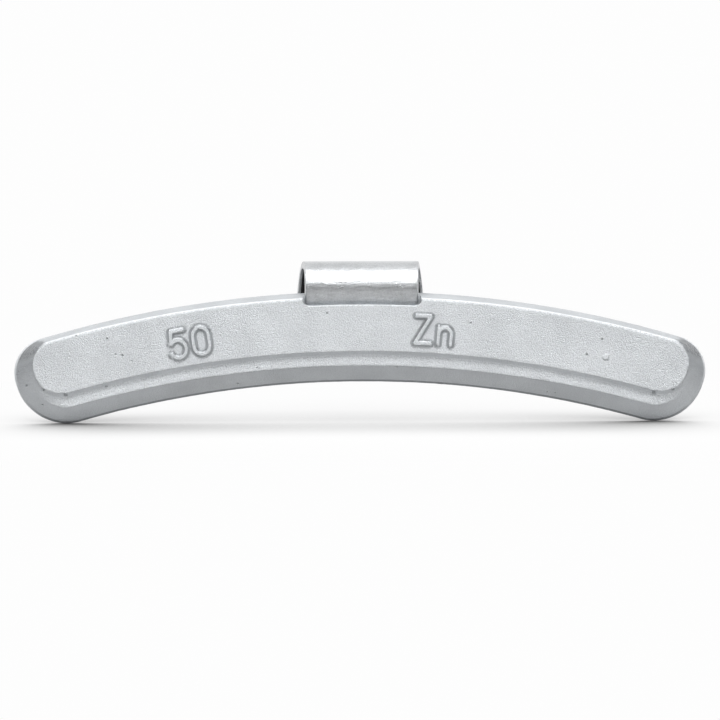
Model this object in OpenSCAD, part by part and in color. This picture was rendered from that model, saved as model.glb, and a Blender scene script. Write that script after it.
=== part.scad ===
// Wheel balance weight, knock-on type: a zinc casting with a cast-in spring-steel clip.
// The origin is the inner top of the clip's arch, where it rests on the edge of the rim flange.
// +Z points away from the wheel's axle, +X runs along the weight, and the front panel faces -Y.

/* [Rim] */
// Radius of the rim flange's edge, which the clip hooks over (14 inch wheel)
flange_r = 194.7; // [170:0.1:260]
// Free gap between the body's back and the clip's back leg, where the flange goes
mouth_gap = 4.7; // [4.3:0.1:7]

/* [Cast body] */
// Overall length from tip to tip
body_len = 118.4; // [100:0.2:135]
// Height along the wheel's radius
body_h = 15.7; // [15:0.1:19]
// Thickness from the flat back to the front panel
body_t = 4.55; // [4.2:0.05:6]
// Distance from the flange's edge down to the body's outer arc
body_drop = 3.6; // [3:0.1:6]
// Height of the upright land round the back, before the slopes start
land_h = 0.6; // [0.4:0.1:1.2]
// Draft of the outer face, in degrees
face_draft = 6; // [2:0.5:10]
// Radius of the round between the outer face and the panel
top_round = 0.9; // [0.5:0.05:1.3]
// Depth of the step under the panel
step_d = 0.85; // [0.4:0.05:1.2]
// Width of the ledge between the step and the slope
ledge_w = 1.75; // [1:0.05:2.6]
// Fall of the ledge, from the step's foot to the slope
ledge_fall = 0.15; // [0.05:0.05:0.4]
// Lean of the step and of the slopes round the body, in degrees from upright
slope_a = 46; // [38:1:48]

/* [Body corners] */
// Radius of the outer corners, seen from the front
outer_corner_r = 6.2; // [5:0.1:6.8]
// Radius of the inner corners, seen from the front
inner_corner_r = 8.8; // [7:0.1:9]
// Radius of the panel's inner corners
panel_inner_corner_r = 4.9; // [2:0.1:5.2]

/* [Spring clip] */
// Thickness of the steel strip
clip_t = 1.2; // [0.9:0.05:1.5]
// Width of the strip at the front of the arch
clip_w = 18.9; // [12:0.1:30]
// Widening of the front bend towards the back, in degrees a side
bend_flare = 9.5; // [0:0.5:12]
// Widening of the arch's top towards the back, in degrees a side
top_flare = 5.5; // [0:0.5:9]
// Widening of the back leg towards its tip, in degrees a side
leg_flare = 7.5; // [0:0.5:10]
// Setback of the arch's front behind the panel
clip_setback = 1.25; // [0.8:0.05:1.6]
// Inside radius of the front bend
front_bend_r = 2.9; // [1.8:0.1:3.2]
// Inside radius of the back bend
back_bend_r = 1.8; // [1:0.1:2.2]
// Lean of the front leg, back into the body, in degrees
front_lean = 9; // [4:0.5:11]
// Lean of the back leg, towards the body, in degrees
back_lean = 2; // [0:0.5:3]
// Straight length of the back leg
back_leg_l = 6.2; // [4:0.1:10]
// Turn of the tip, away from the rim, in degrees
tip_turn = 28; // [10:1:45]
// Inside radius of the tip's bend
tip_bend_r = 1.5; // [1:0.1:3]
// Straight length of the tip
tip_l = 1.4; // [0.5:0.1:3]

/* [Clip anchor] */
// Depth of the open seat in the body's outer edge
seat_depth = 1.85; // [1.5:0.05:3.2]
// Thickness of the seat's lip, along the panel
lip_t = 0.45; // [0.3:0.05:0.6]
// Fall of the seat's floor, from the lip back to the clip
floor_fall = 0.8; // [0.2:0.05:1.2]
// Clearance at each side of the leg in the seat
seat_gap = 0.5; // [0.3:0.05:1]
// Radius of the seat's floor corners
seat_corner_r = 1.2; // [0.5:0.1:1.4]
// Length of the leg that is cast into the zinc below the seat
shank_l = 6.5; // [4:0.1:7]
// Diameter of the lock holes that the zinc fills
lock_hole_d = 3; // [1.5:0.1:3.5]
// Spacing of the two lock holes
lock_hole_pitch = 9; // [6:0.5:9.5]

/* [Hidden] */
smooth = 96;  // segments of a true round
over = 1;     // how far a cutter runs past what it cuts
seam = 0.01;  // step left where a round runs out into a flat, so that they never meet on a tangent

outer_r = flange_r - body_drop;
inner_r = outer_r - body_h;
back_y = -mouth_gap / 2;

// Levels above the flat back: the step's foot, the ledge's low edge and the round's centre.
foot_z = body_t - step_d;
ledge_z = foot_z - ledge_fall;
round_z = body_t - top_round;

// Radii of the section's corners, from the inner arc outward.
slope_top_r = inner_r + (ledge_z - land_h) * tan(slope_a);
foot_r = slope_top_r + ledge_w;
panel_low_r = foot_r + step_d * tan(slope_a);
round_r = outer_r - round_z * tan(face_draft) - top_round / cos(face_draft);

// The outer corner's centre lies at this angle off the middle, and the tip a radius beyond it.
end_a = asin((body_len / 2 - outer_corner_r) / (outer_r - outer_corner_r));
tip_x = outer_corner_r;
// The ring runs this far before its ends are cut.
ring_a = end_a + asin((tip_x + over) / inner_r);

// The arch's front-most face and the centres of its two bends.
arch_front_y = back_y - body_t + clip_setback;
front_bend_y = arch_front_y + clip_t + front_bend_r;
back_bend_y = mouth_gap / 2 - back_bend_r;
// The front leg starts at the end of its bend and ends at the shank's foot.
leg_top_z = -front_bend_r - front_bend_r * sin(front_lean);
shank_foot_z = -body_drop - seat_depth - shank_l;
front_leg_l = (leg_top_z - shank_foot_z) / cos(front_lean);
// Levels above the flat back, at the seat's floor: the clip's front face, and the middle of its
// thickness, where the seat's back wall stands.
seat_floor_z = -body_drop - seat_depth;
clip_face_z = body_t - clip_setback - (leg_top_z - seat_floor_z) * tan(front_lean);
seat_back_z = clip_face_z - clip_t / 2;
lock_hole_z = seat_floor_z - shank_l / 2;

// Turns a shape that lies on its back round the wheel's axle into the part's own frame.
module stand_up() {
    translate([0, back_y, -flange_r]) rotate([90, 0, 0]) children();
}

// The casting's section without its panel: [radius, height above the back].
module base_section() {
    polygon([
        [inner_r, 0],
        [inner_r, land_h],
        [slope_top_r, ledge_z],
        [foot_r, foot_z],
        [outer_r - foot_z * tan(face_draft), foot_z],
        [outer_r, 0]
    ]);
}

// The raised panel's section, with a true round along its outer edge.
module panel_section() {
    polygon([
        [foot_r, foot_z],
        [panel_low_r, body_t],
        [round_r, body_t],
        [round_r + top_round * cos(face_draft), round_z + top_round * sin(face_draft)],
        [outer_r - foot_z * tan(face_draft), foot_z]
    ]);
    intersection() {
        translate([round_r, round_z]) circle(r = top_round, $fn = smooth);
        translate([round_r, foot_z]) square([top_round + over, top_round + over]);
    }
}

// A stretch of the ring as long as the body.
module ring() {
    rotate([0, 0, 90 - ring_a]) rotate_extrude(angle = 2 * ring_a, $fn = smooth) children();
}

// What lies outside a rounded inner corner: a wedge from the corner's centre, less its cone.
// The cone has radius r at level z and leans in with the slopes.
module inner_corner_cut(r, z, side_r) {
    x = tip_x - max(0, z - land_h) * tan(slope_a) - r - seam;
    centre = [x, sqrt(pow(side_r + r + seam, 2) - x * x)];
    inward = -centre / norm(centre);
    reach = 4 * body_t;
    difference() {
        translate([0, 0, z == 0 ? -over : z]) linear_extrude(body_t + 2 * over)
            polygon([
                centre,
                centre + reach * inward,
                centre + reach * [1, -1],
                centre + reach * [1, 0]
            ]);
        translate([centre[0], centre[1], 0]) {
            if (z == 0) translate([0, 0, -2 * over])
                cylinder(r = r, h = land_h + 2 * over, $fn = smooth);
            cone_z = max(z, land_h);
            cone_h = body_t + 3 * over - cone_z;
            translate([0, 0, cone_z])
                cylinder(r1 = r, r2 = r - cone_h * tan(slope_a), h = cone_h, $fn = smooth);
        }
    }
}

// What lies outside a rounded outer corner, which has the outer face's draft.
module outer_corner_cut() {
    reach = 2 * outer_corner_r;
    cone_h = body_t + 3 * over;
    base_r = outer_corner_r + over * tan(face_draft);
    translate([-seam, outer_r - outer_corner_r - seam, -over]) difference() {
        cube([reach, reach, body_t + 2 * over]);
        cylinder(r1 = base_r, r2 = base_r - cone_h * tan(face_draft), h = cone_h, $fn = smooth);
    }
}

// All that is cut off one end, drawn with the end's line along +Y at tip_x.
module end_cut() {
    block = 3 * body_h;
    translate([tip_x, inner_r - body_h, -over]) cube(block);
    translate([tip_x, inner_r - body_h, land_h]) rotate([0, -slope_a, 0])
        translate([0, 0, -block / 2]) cube(block);
    inner_corner_cut(inner_corner_r, 0, inner_r);
    outer_corner_cut();
}

// Both ends, each drawn round its own end line.
module both_ends() {
    for (side = [0, 1]) mirror([side, 0, 0]) rotate([0, 0, -end_a]) children();
}

// The whole casting before the clip is set into it, lying on its back round the axle.
module blank() {
    difference() {
        union() {
            ring() base_section();
            difference() {
                ring() panel_section();
                both_ends() inner_corner_cut(panel_inner_corner_r + step_d * tan(slope_a),
                                             foot_z, foot_r);
            }
        }
        both_ends() end_cut();
    }
}

// The seat: a notch in the outer edge, with rounded floor corners and a floor that falls away
// behind its lip.
module seat_cut() {
    half_w = clip_w / 2 + seat_gap;
    flat_half_w = half_w - seat_corner_r;
    floor_r = outer_r - seat_depth;
    translate([0, 0, seat_back_z]) linear_extrude(body_t) {
        intersection() {
            difference() {
                circle(r = outer_r + over, $fn = smooth);
                circle(r = floor_r, $fn = smooth);
            }
            translate([-flat_half_w, 0]) square([2 * flat_half_w, outer_r + over]);
        }
        for (side = [-1, 1]) {
            x = side * flat_half_w;
            y = sqrt(pow(floor_r + seat_corner_r, 2) - x * x);
            translate([x, y]) circle(r = seat_corner_r, $fn = smooth);
            translate([side > 0 ? x : -half_w, y]) square([seat_corner_r, outer_r + over - y]);
        }
    }
    intersection() {
        ring() polygon([
            [floor_r, body_t - lip_t],
            [floor_r - floor_fall, clip_face_z],
            [floor_r - floor_fall, seat_back_z],
            [outer_r, seat_back_z],
            [outer_r, body_t - lip_t]
        ]);
        translate([-flat_half_w, 0, 0]) cube([2 * flat_half_w, outer_r, body_t]);
    }
}

// A bent strip's section, drawn along +X with its inner face on y = 0.
// Each run is [straight length, turn, inside radius]: a positive turn goes towards the inner face.
module strip(runs, i = 0) {
    if (i < len(runs)) {
        length = runs[i][0];
        turn = runs[i][1];
        r = runs[i][2];
        translate([0, seam / 2]) square([length, clip_t - seam]);
        if (turn > 0) {
            translate([length, -r]) {
                bend(r, 90 - turn, 90);
                rotate([0, 0, -turn]) translate([0, r]) strip(runs, i + 1);
            }
        }
        if (turn < 0) {
            translate([length, clip_t + r]) {
                bend(r, -90, -90 - turn);
                rotate([0, 0, -turn]) translate([0, -clip_t - r]) strip(runs, i + 1);
            }
        }
    }
}

// A bend of the strip round its own centre.
module bend(r, from_a, to_a) {
    reach = 2 * (r + clip_t);
    intersection() {
        difference() {
            circle(r = r + clip_t, $fn = smooth);
            circle(r = r, $fn = smooth);
        }
        polygon(concat([[0, 0]], [
            for (i = [0 : 3]) let (a = from_a + (to_a - from_a) * i / 3) reach * [cos(a), sin(a)]
        ]));
    }
}

// The clip's section in its own frame: X is the part's Y, and Y is the part's Z.
module clip_section() {
    strip([
        [back_bend_y, 90 + back_lean, back_bend_r],
        [back_leg_l, -tip_turn, tip_bend_r],
        [tip_l, 0, 0]
    ]);
    mirror([1, 0]) strip([
        [-front_bend_y, 90 + front_lean, front_bend_r],
        [front_leg_l, 0, 0]
    ]);
}

// Trims one end of the clip on a plane through the front of the arch. The plane opens towards
// the back by one angle and downward by the other.
module end_trim(back_a, down_a) {
    block = 3 * clip_w;
    translate([clip_w / 2, arch_front_y, 0]) rotate([0, -down_a, -back_a])
        translate([0, -block / 2, -block / 2]) cube(block);
}

module spring_clip() {
    color([0.72, 0.73, 0.75]) difference() {
        rotate([90, 0, 90]) linear_extrude(clip_w * 2, center = true) clip_section();
        for (side = [0, 1]) mirror([side, 0, 0]) {
            end_trim(bend_flare, 0);
            end_trim(top_flare, leg_flare);
            translate([lock_hole_pitch / 2, back_y, lock_hole_z])
                rotate([90, 0, 0]) cylinder(d = lock_hole_d, h = body_t, $fn = smooth);
        }
    }
}

module cast_body() {
    color([0.80, 0.82, 0.84]) difference() {
        stand_up() difference() {
            blank();
            seat_cut();
        }
        spring_clip();
    }
}

cast_body();
spring_clip();
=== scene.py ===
# Looks of a knock-on wheel balance weight: a cast zinc arc with a spring-steel clip.
# Everything is in metres in the packed model's frame: +Z away from the wheel's axle,
# +X along the weight, and the front panel faces -Y. The plan of the casting is drawn
# with x along the weight and y as the distance from the axle; h is the height off its back.
import math

import bmesh
import bpy
import numpy as np
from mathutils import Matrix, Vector


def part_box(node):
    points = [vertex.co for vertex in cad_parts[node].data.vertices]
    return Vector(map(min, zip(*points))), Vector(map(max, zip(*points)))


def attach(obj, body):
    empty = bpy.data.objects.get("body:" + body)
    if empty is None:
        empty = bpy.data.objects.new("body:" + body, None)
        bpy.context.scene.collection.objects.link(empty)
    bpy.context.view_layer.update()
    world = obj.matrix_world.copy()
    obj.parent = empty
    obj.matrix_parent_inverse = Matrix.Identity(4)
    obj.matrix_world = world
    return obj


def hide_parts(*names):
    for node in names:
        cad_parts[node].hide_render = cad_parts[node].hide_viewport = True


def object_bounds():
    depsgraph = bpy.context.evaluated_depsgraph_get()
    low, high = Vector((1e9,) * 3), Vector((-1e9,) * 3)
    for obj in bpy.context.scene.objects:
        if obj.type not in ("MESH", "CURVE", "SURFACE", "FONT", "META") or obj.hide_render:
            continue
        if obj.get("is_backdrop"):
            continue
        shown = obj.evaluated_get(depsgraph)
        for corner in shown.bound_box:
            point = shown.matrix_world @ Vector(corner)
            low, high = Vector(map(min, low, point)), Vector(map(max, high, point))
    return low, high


bl_info = {
    "name": "Wheel balance weight",
    "version": (1, 0, 0),
    "blender": (4, 5, 0),
    "location": "3D View > Sidebar > Weight",
    "description": "Builds a zinc knock-on balance weight with its spring-steel clip",
    "category": "Object",
}

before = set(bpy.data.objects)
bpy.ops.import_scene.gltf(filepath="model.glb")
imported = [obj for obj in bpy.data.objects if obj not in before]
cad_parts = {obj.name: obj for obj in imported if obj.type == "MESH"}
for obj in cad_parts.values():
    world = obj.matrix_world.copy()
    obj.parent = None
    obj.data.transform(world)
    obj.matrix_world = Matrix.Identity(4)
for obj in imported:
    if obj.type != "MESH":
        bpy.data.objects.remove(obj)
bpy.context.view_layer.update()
BODY_LOW, BODY_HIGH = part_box("cast_body")
THICKNESS = BODY_HIGH.y - BODY_LOW.y
MM = 0.001


def length(name, description, default):
    """A size property in metres, given here in millimetres."""
    return bpy.props.FloatProperty(
        name=name, description=description, default=default * MM, unit="LENGTH", precision=5
    )


def angle(name, description, default):
    """An angle property, given here in degrees."""
    return bpy.props.FloatProperty(
        name=name, description=description, default=math.radians(default), subtype="ANGLE"
    )


def level(name, description, default):
    """A plain number property."""
    return bpy.props.FloatProperty(name=name, description=description, default=default)


def colour(name, description, default):
    """A colour property."""
    return bpy.props.FloatVectorProperty(
        name=name, description=description, default=default, subtype="COLOR", size=3, min=0, max=1
    )


class CastingSizes(bpy.types.PropertyGroup):
    """Sizes of the zinc casting."""

    flange_radius: length("Flange radius", "Radius of the rim flange's edge", 194.7)
    drop: length("Drop", "From the flange's edge to the outer arc", 3.6)
    height: length("Height", "From the inner arc to the outer arc", 15.7)
    land: length("Land", "Height of the steep land along the inner arc", 0.7)
    land_lean: length("Land lean", "How far that land comes in", 0.45)
    end_land: length("End land", "Height of the steep land round the ends", 1.1)
    end_land_lean: length("End land lean", "How far that land comes in", 0.55)
    draft: angle("Draft", "Draft of the outer face", 6)
    land_round: length("Land round", "Round where a land meets its slope", 0.35)
    slope_round: length("Slope round", "Round at the top of the slopes", 0.7)
    back_round: length("Back round", "Round along the edge of the back", 0.15)
    top_round: length("Top round", "Round between the outer face and the panel", 0.7)
    step_depth: length("Step depth", "Depth of the step under the panel", 0.85)
    step_round: length("Step round", "Rounds at the top and the foot of the step", 0.55)
    ledge_width: length("Ledge width", "Width of the ledge under the step", 1.75)
    ledge_rise: length("Ledge rise", "Rise of the ledge, away from the step", 0.22)
    slope: angle("Slope", "Lean of the step and the long slope, from upright", 41.8)
    end_slope: angle("End slope", "Lean of the slopes at the ends, from upright", 46)
    outer_corner: length("Outer corner", "Radius of the outer corners", 6.2)
    inner_corner: length("Inner corner", "Radius of the inner corners", 8.8)
    panel_outer_corner: length("Panel outer corner", "Outer corners of the panel", 4.0)
    panel_inner_corner: length("Panel inner corner", "Inner corners of the panel", 4.9)
    wave_length: length("Wave length", "Length of the skin's broad waves", 5)
    wave_height: length("Wave height", "Depth of the broad waves", 0.06)
    ripple_length: length("Ripple length", "Length of the skin's small ripples", 1.2)
    ripple_height: length("Ripple height", "Depth of the small ripples", 0.07)


class SeatSizes(bpy.types.PropertyGroup):
    """Sizes of the clip's seat in the casting's outer edge."""

    depth: length("Depth", "From the outer arc down to the seat's lip", 1.85)
    gap: length("Gap", "Clearance at each side of the clip", 0.5)
    corner: length("Corner", "Radius of the floor's corners", 1.2)
    lip: length("Lip", "Round along the seat's front edge", 0.3)
    lip_back: length("Lip back", "Round along the lip's back edge", 0.15)
    lip_width: length("Lip width", "Thickness of the lip, along the panel", 0.45)
    lip_fall: length("Lip fall", "Fall of the floor over the lip's back edge", 0.225)
    fall: length("Fall", "Fall of the floor from the lip back to the clip", 0.9)


class ClipSizes(bpy.types.PropertyGroup):
    """Sizes of the spring-steel clip."""

    thickness: length("Thickness", "Thickness of the strip", 1.2)
    width: length("Width", "Width at the front of the arch", 18.9)
    bend_flare: angle("Bend flare", "Widening of the front bend towards the back, a side", 9.5)
    top_flare: angle("Top flare", "Widening of the arch's top towards the back, a side", 5.5)
    leg_flare: angle("Leg flare", "Widening of the back leg towards its tip, a side", 7.5)
    flare_blend: length("Flare blend", "How softly one widening turns into the next", 0.4)
    setback: length("Setback", "Arch's front behind the panel", 1.25)
    mouth: length("Mouth", "Free gap between the casting and the back leg", 4.7)
    front_bend: length("Front bend", "Inside radius of the front bend", 2.9)
    back_bend: length("Back bend", "Inside radius of the back bend", 1.8)
    front_lean: angle("Front lean", "Lean of the front leg into the casting", 9)
    back_lean: angle("Back lean", "Lean of the back leg", 2)
    back_leg: length("Back leg", "Straight length of the back leg", 6.2)
    tip_turn: angle("Tip turn", "Turn of the tip, away from the rim", 28)
    tip_bend: length("Tip bend", "Inside radius of the tip's bend", 1.5)
    tip: length("Tip", "Straight length of the tip", 1.4)
    shank: length("Shank", "Length cast into the zinc below the seat", 6.5)
    edge: length("Edge", "Round along the sheared edges", 0.28)


class MarkSizes(bpy.types.PropertyGroup):
    """Sizes of the raised cast marks."""

    letter: length("Letter height", "Height of a capital, to the middle of its strokes", 4.6)
    stroke: length("Stroke", "Width of a stroke at its foot", 1.2)
    crown: length("Crown", "Width of a stroke's flat top", 0.5)
    raised: length("Raised", "How far a stroke stands off the panel", 0.35)
    baseline: length("Baseline", "From the outer arc down to the middle of the feet", 8.2)
    mass_angle: angle("Mass angle", "Place of the mass mark along the arc", -9.03)
    metal_angle: angle("Metal angle", "Place of the metal mark along the arc", 3.73)


class FinishColours(bpy.types.PropertyGroup):
    """Colours of the finishes and the stage."""

    zinc: colour("Zinc", "Cast zinc", (0.9, 0.93, 0.955))
    # The dark end of the zinc's tone serves its grain and pits, and the painted shade as well.
    zinc_dark: colour("Zinc, dark", "Grain and pits of the zinc", (0.46, 0.48, 0.5))
    steel: colour("Steel", "Rolled spring steel", (0.67, 0.685, 0.7))
    steel_dark: colour("Steel, dark", "Streaks of the steel", (0.38, 0.39, 0.4))
    # Painted shade inside the clip's arch.
    arch_inside: colour("Arch inside", "Dark inside of the clip's arch", (0.05, 0.05, 0.052))
    floor: colour("Floor", "Pale floor, as it lights the object", (0.42, 0.42, 0.42))
    backdrop: colour("Backdrop", "White backdrop", (0.985, 0.985, 0.985))
    room: colour("Room", "Dim room behind the camera", (0.07, 0.072, 0.075))


class StageSizes(bpy.types.PropertyGroup):
    """The camera, the light and the room round the object."""

    distance: length("Distance", "From the camera to the front panel", 450)
    azimuth: angle("Azimuth", "Camera's turn towards -X", -1.8)
    elevation: angle("Elevation", "Camera's height above the horizon", 7)
    aim_x: length("Aim across", "Where the view's middle meets the panel, across", -0.35)
    aim_z: length("Aim up", "Where the view's middle meets the panel, up", -14.9)
    view_width: length("View width", "Width of the view at the panel", 121.7)
    floor_reach: length("Floor reach", "From the middle to the floor's edges", 3000)
    fade_start: length("Fade start", "Where the floor starts to turn into the backdrop", 8)
    fade_end: length("Fade end", "Where the floor has turned into the backdrop", 40)
    floor_glow: level("Floor glow", "Share of the floor near the object that is plain white", 0.92)
    contact: length("Contact", "Reach of the contact shadow", 18)
    wall_distance: length("Wall distance", "From the object to the dim wall", 900)
    wall_height: length("Wall height", "Height of the dim wall", 560)
    side_gap: length("Side gap", "From the middle to the dark card on each side", 66)
    front_gap: length("Front gap", "From the middle forward to the dark card in front", 150)
    box_width: length("Softbox width", "Width of the softbox", 1900)
    box_depth: length("Softbox depth", "Depth of the softbox", 620)
    box_distance: length("Softbox distance", "From the object to the softbox", 750)
    box_elevation: angle("Softbox elevation", "Softbox's height above the horizon", 53)
    box_level: level("Softbox level", "Its brightness", 3.15)
    fill: level("Fill", "Brightness of the room's fill light", 0.28)


GROUPS = {
    "weight_casting": CastingSizes,
    "weight_seat": SeatSizes,
    "weight_clip": ClipSizes,
    "weight_marks": MarkSizes,
    "weight_colours": FinishColours,
    "weight_stage": StageSizes,
}


# Paths and meshes

# The longest turn between two points of a round stretch
TURN_STEP = math.radians(4)
# A corner with less than this to turn on each side is straight.
NO_TURN = 1e-4
# Points that lie closer than this are one.
NO_STEP = 1e-9
# Edges that turn by more than this stay sharp.
SHARP_ANGLE = math.radians(50)


def eased(share):
    """A share from 0 to 1 that eases in and out."""
    return share * share * (3 - 2 * share)


def turned(points, a):
    """Points turned by the angle a about the origin, counter-clockwise."""
    c, d = math.cos(a), math.sin(a)
    return points @ np.array([[c, d], [-d, c]])


def swing(centre, arm, turn):
    """Points along an arc about centre that starts at centre + arm and turns by turn."""
    steps = max(2, math.ceil(abs(turn) / TURN_STEP))
    return [centre + turned(arm, turn * i / steps) for i in range(steps + 1)]


def rounded_path(corners):
    """Points along a path of (x, y, radius) corners, with a true arc at each rounded one."""
    points = [np.array(corners[0][:2], float)]
    for before, corner, after in zip(corners, corners[1:], corners[2:]):
        at = np.array(corner[:2], float)
        to_before = np.array(before[:2], float) - at
        to_after = np.array(after[:2], float) - at
        to_before /= np.linalg.norm(to_before)
        to_after /= np.linalg.norm(to_after)
        radius = corner[2]
        half = math.acos(max(-1.0, min(1.0, float(to_before @ to_after)))) / 2
        if radius <= 0 or half > math.pi / 2 - NO_TURN:
            points.append(at)
            continue
        middle = to_before + to_after
        centre = at + middle / np.linalg.norm(middle) * radius / math.sin(half)
        start = at + to_before * radius / math.tan(half) - centre
        end = at + to_after * radius / math.tan(half) - centre
        turn = math.atan2(end[1], end[0]) - math.atan2(start[1], start[0])
        points += swing(centre, start, (turn + math.pi) % (2 * math.pi) - math.pi)
    points.append(np.array(corners[-1][:2], float))
    return np.array(points)


def spread(points, count, bend_weight):
    """The path again as count + 1 points, closer together where it bends."""
    run = np.linalg.norm(np.diff(points, axis=0), axis=1)
    points = points[np.concatenate([[True], run > NO_STEP])]
    step = np.diff(points, axis=0)
    heading = np.unwrap(np.arctan2(step[:, 1], step[:, 0]))
    turn = np.abs(np.diff(heading))
    cost = np.linalg.norm(step, axis=1)
    cost[:-1] += bend_weight * turn / 2
    cost[1:] += bend_weight * turn / 2
    along = np.concatenate([[0], np.cumsum(cost)])
    even = np.linspace(0, along[-1], count + 1)
    return np.stack([np.interp(even, along, points[:, axis]) for axis in (0, 1)], axis=1)


def along_arc(radius, angles, h):
    """Plan points along an arc about the axle, all at one height."""
    h = np.full_like(angles, h)
    return np.stack([radius * np.sin(angles), radius * np.cos(angles), h], axis=1)


def quads(low, high, closed=True):
    """Faces between two rows of vertex numbers."""
    if closed:
        low, high = [*low, low[0]], [*high, high[0]]
    return list(zip(low, low[1:], high[1:], high))


def new_object(name, mesh):
    """Links a new object that sits at the origin."""
    thing = bpy.data.objects.new(name, mesh)
    bpy.context.scene.collection.objects.link(thing)
    return thing


def mesh_from(name, vertices, faces):
    """A mesh with outward faces."""
    mesh = bpy.data.meshes.new(name)
    faces = [tuple(int(i) for i in face) for face in faces]
    mesh.from_pydata([tuple(v) for v in vertices], [], faces)
    work = bmesh.new()
    work.from_mesh(mesh)
    bmesh.ops.recalc_face_normals(work, faces=work.faces)
    work.to_mesh(mesh)
    work.free()
    return mesh


def apply_modifiers(thing):
    """Turns the evaluated object into a plain mesh on the same object."""
    bpy.context.view_layer.update()
    graph = bpy.context.evaluated_depsgraph_get()
    mesh = bpy.data.meshes.new_from_object(thing.evaluated_get(graph))
    thing.modifiers.clear()
    old = thing.data
    thing.data = mesh
    mesh.name = thing.name
    bpy.data.meshes.remove(old)


def shade(thing):
    """Smooth shading, with the sharp edges left sharp."""
    thing.data.shade_smooth()
    thing.data.set_sharp_from_angle(angle=SHARP_ANGLE)


def remove(*things):
    """Deletes helper objects and their data."""
    for thing in things:
        data = thing.data
        bpy.data.objects.remove(thing)
        store = bpy.data.curves if isinstance(data, bpy.types.Curve) else bpy.data.meshes
        store.remove(data)


def poly_curve(name, lines):
    """A curve object of straight splines, one for each list of points."""
    curve = bpy.data.curves.new(name, "CURVE")
    curve.dimensions = "3D"
    for points in lines:
        spline = curve.splines.new("POLY")
        spline.points.add(len(points) - 1)
        for knot, point in zip(spline.points, points):
            knot.co = (*point, 1)
    return new_object(name, curve)


# Node trees

class Tree:
    """A geometry or shader node tree that is written call by call."""

    def __init__(self, tree):
        self.tree = tree

    def feed(self, node, inputs):
        """Sets a node's inputs to values, or links sockets to them."""
        for key, value in inputs.items():
            socket = node.inputs[key]
            if isinstance(value, bpy.types.NodeSocket):
                self.tree.links.new(value, socket)
            else:
                socket.default_value = value

    def node(self, kind, inputs=None, **settings):
        """Adds a node, sets it up and feeds its inputs."""
        made = self.tree.nodes.new(kind)
        for key, value in settings.items():
            setattr(made, key, value)
        self.feed(made, inputs or {})
        return made

    def math(self, operation, a, b=0.0):
        """One Math node."""
        return self.node("ShaderNodeMath", {0: a, 1: b}, operation=operation).outputs[0]

    def plus(self, a, b):
        """The sum of two numbers."""
        return self.math("ADD", a, b)

    def minus(self, a, b):
        """The difference of two numbers."""
        return self.math("SUBTRACT", a, b)

    def times(self, a, b):
        """The product of two numbers."""
        return self.math("MULTIPLY", a, b)

    def ramp(self, value, low, high, to_low=0.0, to_high=1.0, smooth=True):
        """A clamped Map Range node."""
        steps = "SMOOTHSTEP" if smooth else "LINEAR"
        return self.node("ShaderNodeMapRange", {
            "Value": value, "From Min": low, "From Max": high, "To Min": to_low, "To Max": to_high,
        }, interpolation_type=steps).outputs[0]

    def vector(self, operation, a, b=None):
        """One Vector Math node, and the vector or the number that it gives."""
        second = "Scale" if operation == "SCALE" else 1
        inputs = {0: a} if b is None else {0: a, second: b}
        made = self.node("ShaderNodeVectorMath", inputs, operation=operation)
        return made.outputs["Value" if operation in ("DISTANCE", "LENGTH") else "Vector"]

    def split(self, vector):
        """A vector's X, Y and Z."""
        return self.node("ShaderNodeSeparateXYZ", {0: vector}).outputs

    def join(self, x=0.0, y=0.0, z=0.0):
        """A vector of three numbers."""
        return self.node("ShaderNodeCombineXYZ", {"X": x, "Y": y, "Z": z}).outputs[0]

    def mix(self, share, a, b):
        """A colour between two others, each of them a colour or a socket."""
        a, b = (end if isinstance(end, bpy.types.NodeSocket) else (*end, 1) for end in (a, b))
        made = self.node("ShaderNodeMix", {"Factor": share, "A": a, "B": b}, data_type="RGBA")
        return made.outputs["Result"]

    def shape(self, label):
        """The geometry of the object that an input names."""
        return self.node("GeometryNodeObjectInfo", {
            "Object": self.given[label],
        }, transform_space="RELATIVE").outputs["Geometry"]

    def note(self, geometry, name, value):
        """Stores a number on each point, for a material to read."""
        return self.node("GeometryNodeStoreNamedAttribute", {
            "Geometry": geometry, "Name": name, "Value": value,
        }, data_type="FLOAT", domain="POINT").outputs[0]


# The sockets of a geometry tree's inputs, by the kind of value that they get
SOCKETS = {
    float: "NodeSocketFloat", int: "NodeSocketInt",
    bpy.types.Object: "NodeSocketObject", bpy.types.Material: "NodeSocketMaterial",
}


def add_tree(thing, write, values):
    """Adds a geometry node tree as a modifier, with the given values as its named inputs.

    write(t) writes the tree from t.given, and returns the geometry and what moves its points, as
    {"Position": ...} or {"Offset": ...}. The tree ends in Realize Instances and Set Material.
    """
    tree = bpy.data.node_groups.new(write.__name__, "GeometryNodeTree")
    for in_out in ("OUTPUT", "INPUT"):
        tree.interface.new_socket("Geometry", in_out=in_out, socket_type="NodeSocketGeometry")
    identifiers = {
        label: tree.interface.new_socket(
            label, in_out="INPUT", socket_type=SOCKETS[type(value)]
        ).identifier
        for label, value in values.items()
    }
    t = Tree(tree)
    t.given = t.node("NodeGroupInput").outputs
    geometry, move = write(t)
    moved = t.node("GeometryNodeSetPosition", {"Geometry": geometry, **move}).outputs[0]
    real = t.node("GeometryNodeRealizeInstances", {0: moved}).outputs[0]
    painted = t.node("GeometryNodeSetMaterial", {"Geometry": real, "Material": t.given["Material"]})
    t.node("NodeGroupOutput", {0: painted.outputs[0]})
    modifier = thing.modifiers.new(tree.name, "NODES")
    modifier.node_group = tree
    for label, value in values.items():
        modifier[identifiers[label]] = value


# The casting

# Spacing of the columns along the arc, and under the marks
COLUMNS_COARSE = 0.42 * MM
COLUMNS_FINE = 0.09 * MM
# Share of a letter's height that a mark reaches to each side of its middle
MARK_REACH = 0.75
# Loops round the sides, and the length that they give to a bend of one radian
LEVELS = 44
BEND_WEIGHT = 0.5 * MM
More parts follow.
